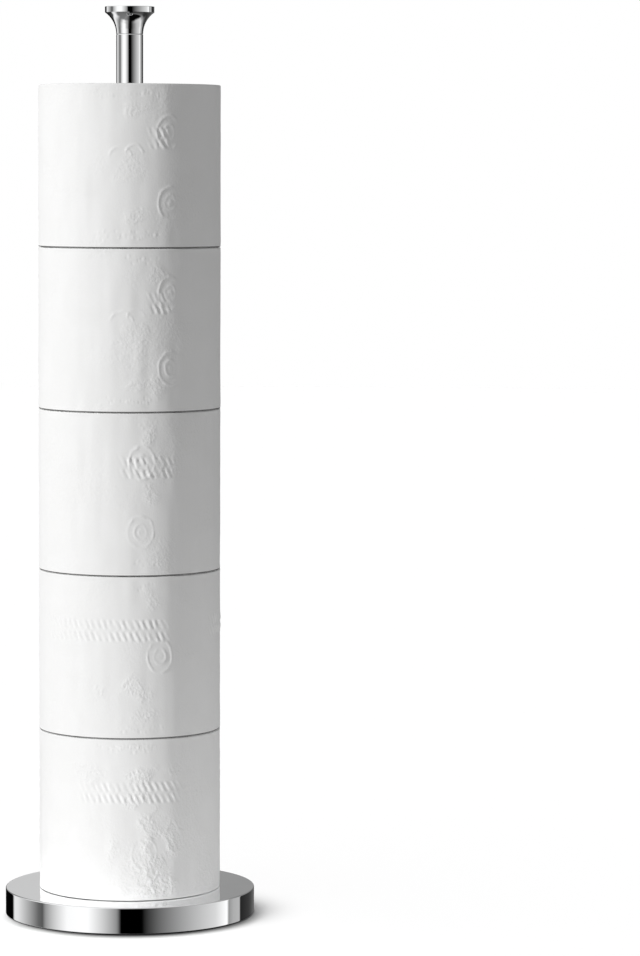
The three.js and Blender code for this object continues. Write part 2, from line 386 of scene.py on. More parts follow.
def layFloor(values):
    clearSelection()
    bpy.ops.mesh.primitive_circle_add(vertices=values["sides"], radius=values["radius"], fill_type="NGON")
    floor = bpy.context.object
    floor.name = "studioFloor"
    bpy.ops.object.mode_set(mode="EDIT")
    bpy.ops.mesh.select_all(action="SELECT")
    bpy.ops.mesh.inset(thickness=values["radius"] * values["insetShare"])
    bpy.ops.object.mode_set(mode="OBJECT")
    material = bpy.data.materials.new("floorWhite")
    material.use_nodes = True
    tree = material.node_tree
    tree.nodes.clear()
    out = addNode(tree, "ShaderNodeOutputMaterial")
    path = addNode(tree, "ShaderNodeLightPath")
    where = addNode(tree, "ShaderNodeTexCoord").outputs["Object"]
    away = addNode(tree, "ShaderNodeVectorMath", operation="DISTANCE")
    feed(tree, where, away.inputs[0])
    away.inputs[1].default_value = values["bounceSpot"]
    # painted contact shadow: the colour goes dark near the base, most towards the front
    close = addNode(tree, "ShaderNodeVectorMath", operation="DISTANCE")
    stretched = addNode(tree, "ShaderNodeVectorMath", operation="MULTIPLY")
    feed(tree, where, stretched.inputs[0])
    stretched.inputs[1].default_value = values["contactWide"]
    feed(tree, stretched.outputs[0], close.inputs[0])
    close.inputs[1].default_value = values["contactSpot"]
    clear = ease(tree, calc(tree, "DIVIDE", close.outputs["Value"], mm), *values["contact"])
    split = addNode(tree, "ShaderNodeSeparateXYZ")
    feed(tree, where, split.inputs[0])
    front = ease(tree, split.outputs[1], *values["contactFront"])
    shade = calc(tree, "MULTIPLY", calc(tree, "SUBTRACT", 1.0, clear), front)
    lit = addNode(tree, "ShaderNodeBsdfDiffuse")
    pale = noise(tree, where, *values["mottle"])
    duller = [level * values["mottled"] for level in values["colour"]]
    paint = mixColour(tree, pale, (*duller, 1), (*values["colour"], 1))
    feed(tree, mixColour(tree, shade, paint, values["shaded"]), lit.inputs["Color"])
    # painted bounce light: the floor glows for every ray but the camera's, which alone sees it lit
    bounce = addNode(tree, "ShaderNodeEmission")
    feed(tree, ramp(tree, away.outputs["Value"], values["bounce"]), bounce.inputs["Color"])
    mix = addNode(tree, "ShaderNodeMixShader")
    feed(tree, path.outputs["Is Camera Ray"], mix.inputs[0])
    feed(tree, bounce.outputs[0], mix.inputs[1])
    feed(tree, lit.outputs[0], mix.inputs[2])
    feed(tree, mix.outputs[0], out.inputs["Surface"])
    material.cycles.emission_sampling = "NONE"
    floor.data.materials.append(material)
    floor.visible_glossy = False
    return floor


floor = layFloor(floorSet)
print("floor laid")


# effects that several finishes share

smudgeSet = {"detail": 5.0, "distortion": 0.8}
grainSet = {"detail": 4.0, "pits": (0.1, 0.6)}


def makeSmudge(values):
    group, given, out = newGroup("smudge", {"Scale": 20.0, "Least": 0.4, "Most": 0.7}, ["Mask"])
    broad = addNode(group, "ShaderNodeTexNoise")
    feed(group, given.outputs["Vector"], broad.inputs["Vector"])
    feed(group, given.outputs["Scale"], broad.inputs["Scale"])
    broad.inputs["Detail"].default_value = values["detail"]
    broad.inputs["Distortion"].default_value = values["distortion"]
    mask = ease(group, broad.outputs[0], given.outputs["Least"], given.outputs["Most"])
    feed(group, mask, out.inputs["Mask"])
    return group


def makeGrain(values):
    group, given, out = newGroup("grain", {"Scale": 800.0, "Stretch": 1.0}, ["Height", "Pits"])
    split = addNode(group, "ShaderNodeSeparateXYZ")
    feed(group, given.outputs["Vector"], split.inputs[0])
    across, along, up = split.outputs
    pack = addNode(group, "ShaderNodeCombineXYZ")
    stretched = calc(group, "MULTIPLY", up, given.outputs["Stretch"])
    for source, target in zip((across, along, stretched), pack.inputs):
        feed(group, source, target)
    fine = addNode(group, "ShaderNodeTexNoise")
    fine.inputs["Detail"].default_value = values["detail"]
    cells = addNode(group, "ShaderNodeTexVoronoi")
    for texture in (fine, cells):
        feed(group, pack.outputs[0], texture.inputs["Vector"])
        feed(group, given.outputs["Scale"], texture.inputs["Scale"])
    feed(group, fine.outputs[0], out.inputs["Height"])
    feed(group, ease(group, cells.outputs["Distance"], *values["pits"]), out.inputs["Pits"])
    return group


# How far a point is from the post's axis and up from the floor, in mm, and how far round, in turns.
def makeRound():
    group, given, out = newGroup("roundPost", {}, ["Out", "Turn", "Up"])
    split = addNode(group, "ShaderNodeSeparateXYZ")
    feed(group, given.outputs["Vector"], split.inputs[0])
    across, along, up = split.outputs
    squares = calc(group, "MULTIPLY", across, across)
    squares = calc(group, "MULTIPLY_ADD", along, along, squares)
    feed(group, calc(group, "MULTIPLY", calc(group, "SQRT", squares), 1 / mm), out.inputs["Out"])
    turn = calc(group, "ARCTAN2", along, across)
    feed(group, calc(group, "MULTIPLY", turn, 0.5 / math.pi), out.inputs["Turn"])
    feed(group, calc(group, "MULTIPLY", up, 1 / mm), out.inputs["Up"])
    return group


smudge = makeSmudge(smudgeSet)
grain = makeGrain(grainSet)
roundPost = makeRound()


# finishes
# a grain is given as scale and stretch, a smudge as scale, least and most, a noise as scale and detail

grainSpan = (0.3, 0.7)  # the part of the grain's height over which the roughness changes


def grainAt(tree, where, scale, stretch):
    return useGroup(tree, grain, Vector=where, Scale=scale, Stretch=stretch).outputs


def smudgeAt(tree, where, scale, least, most):
    return useGroup(tree, smudge, Vector=where, Scale=scale, Least=least, Most=most).outputs["Mask"]


def speckle(tree, pits, share, colour, tint):
    return mixColour(tree, calc(tree, "MULTIPLY", pits, share), colour, tint)


chromeSet = {
    "plate": (0.93, 0.935, 0.94, 1), "handled": (0.91, 0.915, 0.92, 1), "roughness": (0.015, 0.035),
    "marks": (26.0, 0.45, 0.75), "ripple": (60.0, 1.0), "bump": (0.03, 0.0002),
}


def makeChrome(values):
    material, tree, shader, where = newMaterial("chromePlate")
    shader.inputs["Metallic"].default_value = 1.0
    marks = smudgeAt(tree, where, *values["marks"])
    colour = mixColour(tree, marks, values["plate"], values["handled"])
    roughness = ease(tree, marks, 0.0, 1.0, *values["roughness"])
    dressShader(tree, shader, colour, roughness, noise(tree, where, *values["ripple"]), values["bump"])
    return material


tissueSet = {
    "sheet": (0.925, 0.925, 0.92, 1), "paler": (0.945, 0.945, 0.942, 1),
    "inPits": (0.90, 0.90, 0.895, 1), "pitted": 0.25,
    "crepe": (1500.0, 0.12), "fibre": (900.0, 1.0),
    "cloud": (45.0, 0.3, 0.7), "roughness": (0.9, 1.0), "gloss": 0.15,
    # painted shadow on the cut rims between one roll and the next: mm in from a roll's foot and head where
    # it fades in, and mm up the stack where it begins and ends
    "rimFoot": (0.75, 0.5), "rimHead": (0.25, 0.1), "rimShade": 0.97, "shadow": (0.03, 0.03, 0.03, 1),
    "stackFoot": (30.0, 40.0), "stackHead": (480.0, 470.0),
    "creases": (640.0, 2.0), "crepeShare": 0.6, "creaseShare": 24.0, "bump": (0.3, 0.0001),
}


def makeTissue(values, rolls):
    material, tree, shader, where = newMaterial("tissueSheet")
    crepe = grainAt(tree, where, *values["crepe"])
    fibre = grainAt(tree, where, *values["fibre"])
    cloud = smudgeAt(tree, where, *values["cloud"])
    colour = mixColour(tree, cloud, values["sheet"], values["paler"])
    colour = speckle(tree, fibre["Pits"], values["pitted"], colour, values["inPits"])
    # painted shadow: the colour goes dark at the cut rims where one roll meets the next, but not at the two
    # ends of the stack
    up = useGroup(tree, roundPost, Vector=where).outputs["Up"]
    half = rolls["width"] / 2
    inRolls = calc(tree, "DIVIDE", calc(tree, "SUBTRACT", up, rolls["foot"]), rolls["pitch"])
    fromMiddle = calc(tree, "MULTIPLY_ADD", calc(tree, "FRACT", inRolls), rolls["pitch"], -half)
    atFoot = ease(tree, fromMiddle, *(edge - half for edge in values["rimFoot"]))
    atHead = ease(tree, fromMiddle, *(half - edge for edge in values["rimHead"]))
    rim = calc(tree, "MULTIPLY", calc(tree, "MAXIMUM", atFoot, atHead), values["rimShade"])
    for span in (values["stackFoot"], values["stackHead"]):
        rim = calc(tree, "MULTIPLY", rim, ease(tree, up, *span))
    colour = mixColour(tree, rim, colour, values["shadow"])
    # fine crepe and fibre, with sharper creases where the sheet is crumpled
    crumpled = addNode(tree, "ShaderNodeAttribute", attribute_name="crumple").outputs["Fac"]
    creased = calc(tree, "MULTIPLY", crumpled, noise(tree, where, *values["creases"]))
    height = calc(tree, "MULTIPLY_ADD", crepe["Height"], values["crepeShare"], fibre["Height"])
    height = calc(tree, "MULTIPLY_ADD", creased, values["creaseShare"], height)
    roughness = ease(tree, fibre["Height"], *grainSpan, *values["roughness"])
    dressShader(tree, shader, colour, roughness, height, values["bump"])
    shader.inputs["Specular IOR Level"].default_value = values["gloss"]
    return material


rollEndSet = {
    # between: painted shade in the gaps between the wound layers
    "sheet": (0.94, 0.94, 0.937, 1), "between": (0.84, 0.84, 0.83, 1),
    "inPits": (0.88, 0.88, 0.875, 1), "pitted": 0.3,
    "fibre": (1300.0, 1.0), "roughness": (0.92, 1.0), "gloss": 0.1,
    # mm from layer to layer, and from one broad wave in them to the next
    "layer": 0.5, "wave": 3.5, "wander": (70.0, 4.0), "wanderWide": 1.6, "lines": (-1.0, 0.4),
    "waveShare": 0.5, "fibreShare": 1.2, "bump": (0.5, 0.00012),
}


def makeTissueEnd(values):
    material, tree, shader, where = newMaterial("tissueRollEnd")
    around = useGroup(tree, roundPost, Vector=where)
    wander = noise(tree, where, *values["wander"])
    out = calc(tree, "MULTIPLY_ADD", wander, values["wanderWide"], around.outputs["Out"])
    out = calc(tree, "SUBTRACT", out, calc(tree, "MULTIPLY", around.outputs["Turn"], values["layer"]))
    layers, waves = (
        calc(tree, "SINE", calc(tree, "MULTIPLY", out, 2 * math.pi / length))
        for length in pick(values, "layer wave")
    )
    fibre = grainAt(tree, where, *values["fibre"])
    # the lines between the layers are darker: painted shade in the gaps between them
    colour = mixColour(tree, ease(tree, layers, *values["lines"]), values["between"], values["sheet"])
    colour = speckle(tree, fibre["Pits"], values["pitted"], colour, values["inPits"])
    height = calc(tree, "MULTIPLY_ADD", waves, values["waveShare"], layers)
    height = calc(tree, "MULTIPLY_ADD", fibre["Height"], values["fibreShare"], height)
    roughness = ease(tree, fibre["Height"], *grainSpan, *values["roughness"])
    dressShader(tree, shader, colour, roughness, height, values["bump"])
    shader.inputs["Specular IOR Level"].default_value = values["gloss"]
    return material


boardSet = {
    "board": (0.50, 0.40, 0.285, 1), "paler": (0.58, 0.46, 0.33, 1),
    "inPits": (0.40, 0.31, 0.21, 1), "pitted": 0.35,
    "seam": (0.28, 0.21, 0.14, 1), "seamShare": 0.6, "seamEdge": (0.985, 0.999),
    "fibre": (700.0, 0.5), "cloud": (90.0, 0.35, 0.7),
    "roughness": (0.85, 0.98), "bump": (0.4, 0.00012),
}


def makeCardboard(values, seamRise):
    material, tree, shader, where = newMaterial("coreBoard")
    around = useGroup(tree, roundPost, Vector=where)
    lay = calc(tree, "SUBTRACT", calc(tree, "DIVIDE", around.outputs["Up"], seamRise), around.outputs["Turn"])
    wave = calc(tree, "COSINE", calc(tree, "MULTIPLY", lay, 2 * math.pi))
    seam = calc(tree, "MULTIPLY", ease(tree, wave, *values["seamEdge"]), values["seamShare"])
    fibre = grainAt(tree, where, *values["fibre"])
    cloud = smudgeAt(tree, where, *values["cloud"])
    colour = mixColour(tree, cloud, values["board"], values["paler"])
    colour = speckle(tree, fibre["Pits"], values["pitted"], colour, values["inPits"])
    colour = mixColour(tree, seam, colour, values["seam"])
    roughness = ease(tree, fibre["Height"], *grainSpan, *values["roughness"])
    dressShader(tree, shader, colour, roughness, fibre["Height"], values["bump"])
    return material


ironSet = {
    "paint": ((0.035, 0.035, 0.04, 1), (0.075, 0.075, 0.08, 1)), "rubbed": (0.12, 0.10, 0.09, 1),
    "grain": (420.0, 1.0), "worn": (110.0, 0.58, 0.75),
    "roughness": (0.5, 0.75), "bump": (0.6, 0.0003),
}


def makeIron(values):
    material, tree, shader, where = newMaterial("paintedCasting")
    height, pits = grainAt(tree, where, *values["grain"])
    worn = smudgeAt(tree, where, *values["worn"])
    colour = mixColour(tree, height, *values["paint"])
    colour = mixColour(tree, worn, colour, values["rubbed"])
    roughness = ease(tree, height, *grainSpan, *values["roughness"])
    dressShader(tree, shader, colour, roughness, calc(tree, "ADD", height, pits), values["bump"])
    return material


rubberSet = {
    "metallic": 0.0, "tints": ((0.018, 0.018, 0.02, 1), (0.045, 0.044, 0.042, 1)), "roughness": (0.7, 0.9),
    "grain": (1400.0, 1.0), "patches": (60.0, 0.5, 0.85),
    "raised": "Pits", "bump": (0.4, 0.0001),
}
steelSet = {
    "metallic": 1.0, "tints": ((0.60, 0.61, 0.63, 1), (0.66, 0.65, 0.62, 1)), "roughness": (0.28, 0.42),
    "grain": (500.0, 6.0), "patches": (140.0, 0.35, 0.7),
    "raised": "Height", "bump": (0.2, 0.00008),
}
nylonSet = {
    "metallic": 0.0, "tints": ((0.84, 0.83, 0.79, 1), (0.88, 0.87, 0.83, 1)), "roughness": (0.4, 0.55),
    "grain": (350.0, 2.0), "patches": (200.0, 0.3, 0.7),
    "raised": "Height", "bump": (0.15, 0.0001),
}


def makeGrained(name, values):
    material, tree, shader, where = newMaterial(name)
    shader.inputs["Metallic"].default_value = values["metallic"]
    fine = grainAt(tree, where, *values["grain"])
    patches = smudgeAt(tree, where, *values["patches"])
    colour = mixColour(tree, patches, *values["tints"])
    roughness = ease(tree, fine["Height"], *grainSpan, *values["roughness"])
    dressShader(tree, shader, colour, roughness, fine[values["raised"]], values["bump"])
    return material


chrome = makeChrome(chromeSet)
iron = makeIron(ironSet)
rubber = makeGrained("padRubber", rubberSet)
steel = makeGrained("zincSteel", steelSet)
nylon = makeGrained("nylonWasher", nylonSet)

# inner pieces that keep their CAD solids
carried = {
    "base_weight": iron, "clamp_washer": steel, "post_foot_insert": steel, "post_head_insert": steel,
    "finial_stud": steel,
}
for name, material in carried.items():
    for place in nodes[name].material_slots:
        place.material = material
print("holder finishes made")


# base: the chromed cover and the rubber pad under it
# "hold" is how far from a rounded edge a row of points keeps the flat beside it flat

coverSet = {
    "radius": 75.0, "top": 16.0, "bottom": 0.5, "wall": 1.0, "edge": 0.8, "hole": 4.3, "hem": 0.2,
    "chamfer": 0.15, "corner": 0.5, "hold": 0.25, "edgeSteps": 10, "hemSteps": 4, "cornerSteps": 4,
    "around": 360,
}


def makeCover(values):
    radius, top, bottom, edge, hole, hem = pick(values, "radius top bottom edge hole hem")
    chamfer, corner, hold = pick(values, "chamfer corner hold")
    ceiling = top - values["wall"]
    inside = radius - values["wall"]
    outline = [(hole + chamfer, ceiling), (hole, ceiling + chamfer), (hole, top - chamfer)]
    outline += [(hole + chamfer, top), (hole + chamfer + hold, top), (radius - edge - hold, top)]
    outline += arcPoints(radius - edge, top - edge, edge, 90, 0, values["edgeSteps"])
    outline += [(radius, top - edge - hold), (radius, bottom + hem + hold)]
    outline += arcPoints(radius - hem, bottom + hem, hem, 0, -90, values["hemSteps"])
    outline += arcPoints(inside + hem, bottom + hem, hem, -90, -180, values["hemSteps"])
    outline += [(inside, ceiling - corner)]
    outline += arcPoints(inside - corner, ceiling - corner, corner, 0, 90, values["cornerSteps"])[1:]
    outline += [(hole + chamfer + hold, ceiling), (hole + chamfer, ceiling)]
    return turnPiece("coverDisc", outline, values["around"], chrome, "base_cover")


padSet = {
    "inner": 12.0, "outer": 73.7, "thick": 2.0, "bevel": 0.4, "lip": 0.2, "chamfer": 0.15, "around": 256,
    "grooves": (22.0, 34.0, 46.0, 58.0, 68.0), "groove": ((-0.9, 0.0), (-0.6, 0.4), (0.6, 0.4), (0.9, 0.0)),
}


def makePad(values):
    inner, outer, thick, bevel, chamfer, lip = pick(values, "inner outer thick bevel chamfer lip")
    outline = [(inner, lip), (inner + lip, 0.0)]
    for middle in values["grooves"]:
        outline += [(middle + away, up) for away, up in values["groove"]]
    outline += [(outer - bevel, 0.0), (outer, bevel), (outer, thick - chamfer), (outer - chamfer, thick)]
    outline += [(inner + chamfer, thick), (inner, thick - chamfer), (inner, lip)]
    return turnPiece("padRing", outline, values["around"], rubber, "floor_pad")


# clamp screw: button head with a hexagon socket from below, shank with a thread inside the CAD's cylinder
screwSet = {
    "head": 7.0, "brim": 0.8, "flat": 3.5, "foot": 2.3, "seat": 6.7, "chamfer": 0.15, "shank": 4.0,
    "tip": 31.6, "tipEdge": 0.8, "pitch": 1.25, "core": 3.3, "plain": 10.0, "row": 0.14, "flank": 2.5,
    "socket": 5.0, "socketDeep": 2.6, "overcut": 1.0, "domeSteps": 12, "around": 72,
}


# A thread: the rows of a shank pushed in and out along a helix, all within the shank's radius.
def cutThread(piece, values, low, high):
    radius, pitch = values["shank"], values["pitch"]
    spots = readSpots(piece.data)
    out = np.hypot(spots[:, 0], spots[:, 1])
    turn = np.arctan2(spots[:, 1], spots[:, 0]) / (2 * math.pi)
    phase = np.mod(spots[:, 2] / pitch - turn, 1.0)
    groove = np.clip(values["flank"] * (0.5 - np.abs(phase - 0.5)), 0, 1)
    runOut = np.clip(np.minimum(spots[:, 2] - low, high - spots[:, 2]) / pitch, 0, 1)
    onThread = (out > radius - onSurface) & (spots[:, 2] > low) & (spots[:, 2] < high)
    cut = np.where(onThread, (radius - values["core"]) * groove * runOut, 0)
    scale = 1 - cut / np.maximum(out, onSurface)
    spots[:, :2] *= scale[:, None]
    writeSpots(piece.data, spots)


def makeScrew(values):
    head, flat, foot, seat, shank = pick(values, "head flat foot seat shank")
    plain, row, tip, tipEdge, chamfer = pick(values, "plain row tip tipEdge chamfer")
    threadEnd = tip - tipEdge
    crown = seat - values["brim"] - foot
    outline = [(0, foot), (flat, foot)]
    for step in range(1, values["domeSteps"] + 1):
        angle = math.pi / 2 * step / values["domeSteps"]
        outline.append((flat + (head - flat) * math.sin(angle), foot + crown * (1 - math.cos(angle))))
    outline += [(head, seat - chamfer), (head - chamfer, seat), (shank, seat)]
    outline += [(shank, plain + row * i) for i in range(int((threadEnd - plain) / row))]
    outline += [(shank, threadEnd), (shank - tipEdge, tip), (0, tip)]
    screw = turnOutline("clampScrew", outline, values["around"])
    cutThread(screw, values, plain, threadEnd)
    clearSelection()
    deep, overcut = values["socketDeep"], values["overcut"]
    bpy.ops.mesh.primitive_cylinder_add(
        vertices=6, radius=values["socket"] / math.sqrt(3) * mm, depth=(deep + overcut) * mm,
        location=(0, 0, (foot + (deep - overcut) / 2) * mm),
    )
    key = bpy.context.object
    activate(screw)
    cut = screw.modifiers.new("socket", "BOOLEAN")
    cut.operation = "DIFFERENCE"
    cut.solver = "EXACT"
    cut.object = key
    bpy.ops.object.modifier_apply(modifier="socket")
    bpy.data.objects.remove(key)
    smoothShade(screw, turnedSmooth)
    return finishPiece(screw, [steel], "holder", "clamp_screw")


# washer that keeps the post off the chrome; it sits right on the cover
washerSet = {
    "inner": 4.3, "outer": 7.95, "foot": 16.05, "head": 17.05, "edge": 0.2, "edgeSteps": 4, "chamfer": 0.1,
    "holds": (), "around": 128,
}


# A ring or tube, chamfered inside and rounded outside.
def makeRing(name, values, finish, node):
    inner, outer, foot, head = pick(values, "inner outer foot head")
    edge, steps, chamfer = pick(values, "edge edgeSteps chamfer")
    outline = [(inner, foot + chamfer), (inner + chamfer, foot), (outer - edge - chamfer, foot)]
    outline += arcPoints(outer - edge, foot + edge, edge, -90, 0, steps)
    for hold in values["holds"]:
        outline += [(outer, foot + edge + hold), (outer, head - edge - hold)]
    outline += arcPoints(outer - edge, head - edge, edge, 0, 90, steps)
    outline += [(outer - edge - chamfer, head), (inner + chamfer, head), (inner, head - chamfer)]
    return turnPiece(name, outline + outline[:1], values["around"], finish, node)


cover = makeCover(coverSet)
pad = makePad(padSet)
makeScrew(screwSet)
makeRing("postWasher", washerSet, nylon, "post_washer")
print("base made")


# post and finial

pipeSet = {
    "inner": 6.8, "outer": 8.0, "foot": 17.08, "head": 528.12, "edge": 0.25, "edgeSteps": 5, "chamfer": 0.1,
    "holds": (0.3,), "around": 160,
}
finialSet = {
    "foot": 528.18, "neck": 8.0, "rim": 14.7, "flare": 12.8, "rimHeight": 3.52, "footEdge": 0.25,
    "rimEdge": 0.2, "hole": 3.3, "holeDeep": 8.3, "drillTip": 1.5, "chamfer": 0.15,
    "holdUnder": 0.12, "holdOver": 0.15, "holdTop": 0.2, "footSteps": 4, "flareSteps": 40,
    "rimSteps": 8, "around": 192,
}


def makeFinial(values):
    neck, rim, flare, edge, footEdge = pick(values, "neck rim flare rimEdge footEdge")
    hole, deep, chamfer = pick(values, "hole holeDeep chamfer")
    # the flare is one arc that leaves the neck upright and ends at the rim
    reach = rim - neck
    bend = (flare ** 2 + reach ** 2) / (2 * reach)
    turn = math.degrees(2 * math.atan(reach / flare))
    top = flare + values["rimHeight"]
    outline = [(0, deep + values["drillTip"]), (hole, deep), (hole, chamfer), (hole + chamfer, 0.0)]
    outline += arcPoints(neck - footEdge, footEdge, footEdge, -90, 0, values["footSteps"])
    outline += arcPoints(neck + bend, 0, bend, 180, 180 - turn, values["flareSteps"])[1:]
    outline += [(rim, flare + values["holdUnder"]), (rim, top - edge - values["holdOver"])]
    outline += arcPoints(rim - edge, top - edge, edge, 0, 90, values["rimSteps"])
    outline += [(rim - edge - values["holdTop"], top), (0, top)]
    outline = [(out, up + values["foot"]) for out, up in outline]
    return turnPiece("finialTurned", outline, values["around"], chrome, "finial")


makeRing("postPipe", pipeSet, chrome, "post_tube")
makeFinial(finialSet)
print("post and finial made")


# rolls: cardboard core and wound, embossed tissue

rollSet = {
    "count": 5, "foot": 16.3, "pitch": 96.4, "width": 96.1, "radius": 54.6, "bore": 21.3, "sheet": 0.5,
    # where each sheet ends, in degrees from the right round towards the back, from the bottom roll up
    "tails": (62, 118, 84, 131, 101),
    # the rounded rims, row by row in degrees, and how far in mm the embossing takes to fade in from them
    "rimEase": 0.6, "rimSlopes": (66, 44, 22, 0), "fadeIn": 2.0, "pressedIn": 0.06,
    # end faces: how deep, cells round and out, and which draw
    "sunk": 0.05, "uneven": ((0.07, 9, 14, 5), (0.03, 60, 30, 6)), "sunkMost": 0.2,
    "toothPitch": 2.6, "toothDeep": 0.25, "toothFoot": 0.08, "edgeGap": 0.05,
    "around": 640, "halfRows": 66, "rings": 8, "boreRows": 6, "endSlope": 0.75, "smooth": 50,
    "drawStep": 10,
}


# Selects edges that run up the blank, so that subdivide cuts it into rows.
def cutRows(piece, cuts):
    activate(piece)
    mesh = piece.data
    bpy.ops.object.mode_set(mode="EDIT")
    bpy.ops.mesh.select_mode(type="EDGE")
    bpy.ops.mesh.select_all(action="DESELECT")
    bpy.ops.object.mode_set(mode="OBJECT")
    ups = readSpots(mesh)[:, 2]
    ends = np.zeros(len(mesh.edges) * 2, int)
    mesh.edges.foreach_get("vertices", ends)
    ends = ends.reshape(-1, 2)
    mesh.edges.foreach_set("select", np.abs(ups[ends[:, 0]] - ups[ends[:, 1]]) > onSurface)
    bpy.ops.object.mode_set(mode="EDIT")
    bpy.ops.mesh.subdivide(number_cuts=cuts)
    bpy.ops.object.mode_set(mode="OBJECT")


# A tube: cylinder, its ends inset ring by ring, opened and bridged.
def tubeBlank(name, radius, width, around, cuts, insets, boreRows):
    clearSelection()
    bpy.ops.mesh.primitive_cylinder_add(
        vertices=around, radius=radius * mm, depth=width * mm, end_fill_type="NGON",
        location=(0, 0, width * mm / 2),
    )
    piece = bpy.context.object
    piece.name = name
    piece.data.name = name
    bpy.ops.object.transform_apply(location=True, rotation=True, scale=True)
    for count in cuts:
        cutRows(piece, count)
    bpy.ops.object.mode_set(mode="EDIT")
    bpy.ops.mesh.select_mode(type="FACE")
    bpy.ops.mesh.select_all(action="DESELECT")
    bpy.ops.object.mode_set(mode="OBJECT")
    for face in piece.data.polygons:
        face.select = abs(face.normal.z) > levelFace
    bpy.ops.object.mode_set(mode="EDIT")
    for step in insets:
        bpy.ops.mesh.inset(thickness=step * mm)
    bpy.ops.mesh.delete(type="ONLY_FACE")
    bpy.ops.mesh.select_mode(type="EDGE")
    bpy.ops.mesh.select_non_manifold()
    bpy.ops.mesh.bridge_edge_loops(number_cuts=boreRows)
    bpy.ops.mesh.select_all(action="SELECT")
    bpy.ops.mesh.normals_make_consistent(inside=False)
    bpy.ops.object.mode_set(mode="OBJECT")
    return piece


# Soft noise that meets itself round the roll: cells round and up, values -1 to 1.
def softNoise(around, up, cellsRound, cellsUp, seed):
    grid = np.random.default_rng(seed).uniform(-1, 1, (cellsUp + 2, cellsRound))
    a = np.mod(around, 1.0) * cellsRound
    b = np.clip(up, 0, 1) * cellsUp
    column = np.floor(a).astype(int) % cellsRound
    row = np.minimum(np.floor(b).astype(int), cellsUp)
    fa = a - np.floor(a)
    fb = b - row
    fa = fa * fa * (3 - 2 * fa)
    fb = fb * fb * (3 - 2 * fb)
    after = (column + 1) % cellsRound
    low = grid[row, column] * (1 - fa) + grid[row, after] * fa
    high = grid[row + 1, column] * (1 - fa) + grid[row + 1, after] * fa
    return low * (1 - fb) + high * fb


# 1 where the distance is 0, falling softly to 0 at half the width.
def hump(distance, width):
    inside = np.clip(np.abs(distance) / (width / 2), 0, 1)
    return 0.5 + 0.5 * np.cos(math.pi * inside)


embossSet = {
    # in mm on the flat sheet
    "bandHeights": (67.8, 60.7),
    "strokeLong": 6.4, "strokePitch": 3.9, "strokeLean": 0.45, "strokeRise": 0.3, "strokeFade": 6.0,
    "strokeEnd": 1.4, "strokeEndWide": 3.0,
    # rings: radius, width and rise of each, and the degrees at which the sheet's shape wipes them out
    "circles": ((7.6, 2.2, 0.34), (3.6, 2.0, 0.28), (0.8, 2.0, 0.22)), "oval": 0.8,
    "ringsEnd": 31.0, "ringsFade": 3,
    "arcs": ((0.0, 0.0, 7.0), (8.3, 3.0, 5.3)), "arcWide": 2.0, "arcRise": 0.34, "arcOpen": 0.2,
    "dotPitch": 1.7, "dotWide": 2.2, "dotRise": 0.28, "dotStray": 2.5,
    "streak": 0.18, "cloud": 0.07, "stretch": 0.3, "worn": 0.7, "wornLeast": 0.35, "wornGain": 1.6,
    "crimp": 0.08, "crimpIn": 2.4, "crimpWide": 1.2,
    # creases: ragged outline, how full and wide the patches are, and how sharp and deep the ridges in them
    "lightly": 0.3, "ragged": 0.5, "full": 1.5, "spread": 2.2,
    "creaseRise": 0.3, "creaseSlant": 0.6, "ridgeSharp": 4, "ridgeFoot": 0.3,
    # cells round and up of each soft noise, and which draw it takes
    "cells": {
        "sideways": (110, 30, 7), "upward": (90, 26, 8), "worn": (96, 20, 9), "lightly": (18, 6, 4),
        "ragged": (40, 12, 10), "risingRight": (105, 15, 3), "risingLeft": (84, 18, 6),
        "streak": (62, 3, 1), "cloud": (40, 9, 2),
    },
}
# Each roll's pattern, from the bottom roll up, as it falls across the front. It repeats every third of a
# turn. Places are in degrees, right of the camera side positive, and in mm above the roll's foot:
# bands (first, last), medallions (middle, height, strength), swirls (middle, height), dotted (first, last,
# height), creased (middle, height, degrees wide, mm deep, strength).
patterns = (
    {
        "bands": ((-33, 33),), "medallions": ((9, 28, 0.55), (19, 5, 0.4)), "swirls": (),
        "dotted": ((-20, 14, 90), (0, 22, 12)),
        "creased": (
            (14, 12, 17, 20, 1.0), (11, 42, 11, 14, 0.8), (-11, 30, 9, 17, 1.0), (-24, 76, 16, 8, 0.8),
            (5, 76, 12, 7, 1.0), (0, 92, 16, 4, 0.6), (32, 77, 10, 6, 0.5), (27, 32, 9, 15, 0.9),
            (4, 60, 12, 6, 0.7),
        ),
    },
    {
        "bands": ((-60, 23),), "medallions": ((19, 48.8, 1.0),), "swirls": (),
        "dotted": ((-10, 22, 6.4), (2, 16, 90.5)),
        "creased": ((5, 29, 12, 11, 0.7), (-21, 29, 7, 7, 0.6), (6, 12, 14, 8, 0.5), (14, 80, 9, 10, 0.4)),
    },
    {
        "bands": ((-6, 26),), "medallions": ((7.5, 67, 1.3), (6.6, 26.1, 1.0)), "swirls": (),
        "dotted": ((0, 20, 7.2), (6, 18, 89)),
        "creased": ((14, 46, 8, 9, 0.6), (13, 84, 6, 8, 0.6), (-28, 52, 6, 6, 0.4), (16, 14, 8, 8, 0.5)),
    },
    {
        "bands": ((13, 25),), "medallions": ((26, 70, 1.0), (26, 26, 1.0)), "swirls": ((-5, 52.2),),
        "dotted": ((-2, 19, 89.6), (-14, 14, 7.5)),
        "creased": ((8, 16, 14, 8, 0.5), (0, 46, 18, 12, 0.4), (16, 80, 8, 8, 0.4)),
    },
    {
        "bands": ((13, 25),), "medallions": ((25, 67.6, 1.0), (26, 26.4, 1.0)), "swirls": ((-6, 52),),
        "dotted": ((-25, 19, 90.3), (-23, 19, 7.7)),
        "creased": ((6, 20, 14, 12, 0.5), (2, 46, 14, 10, 0.4), (8, 82, 16, 8, 0.5)),
    },
)


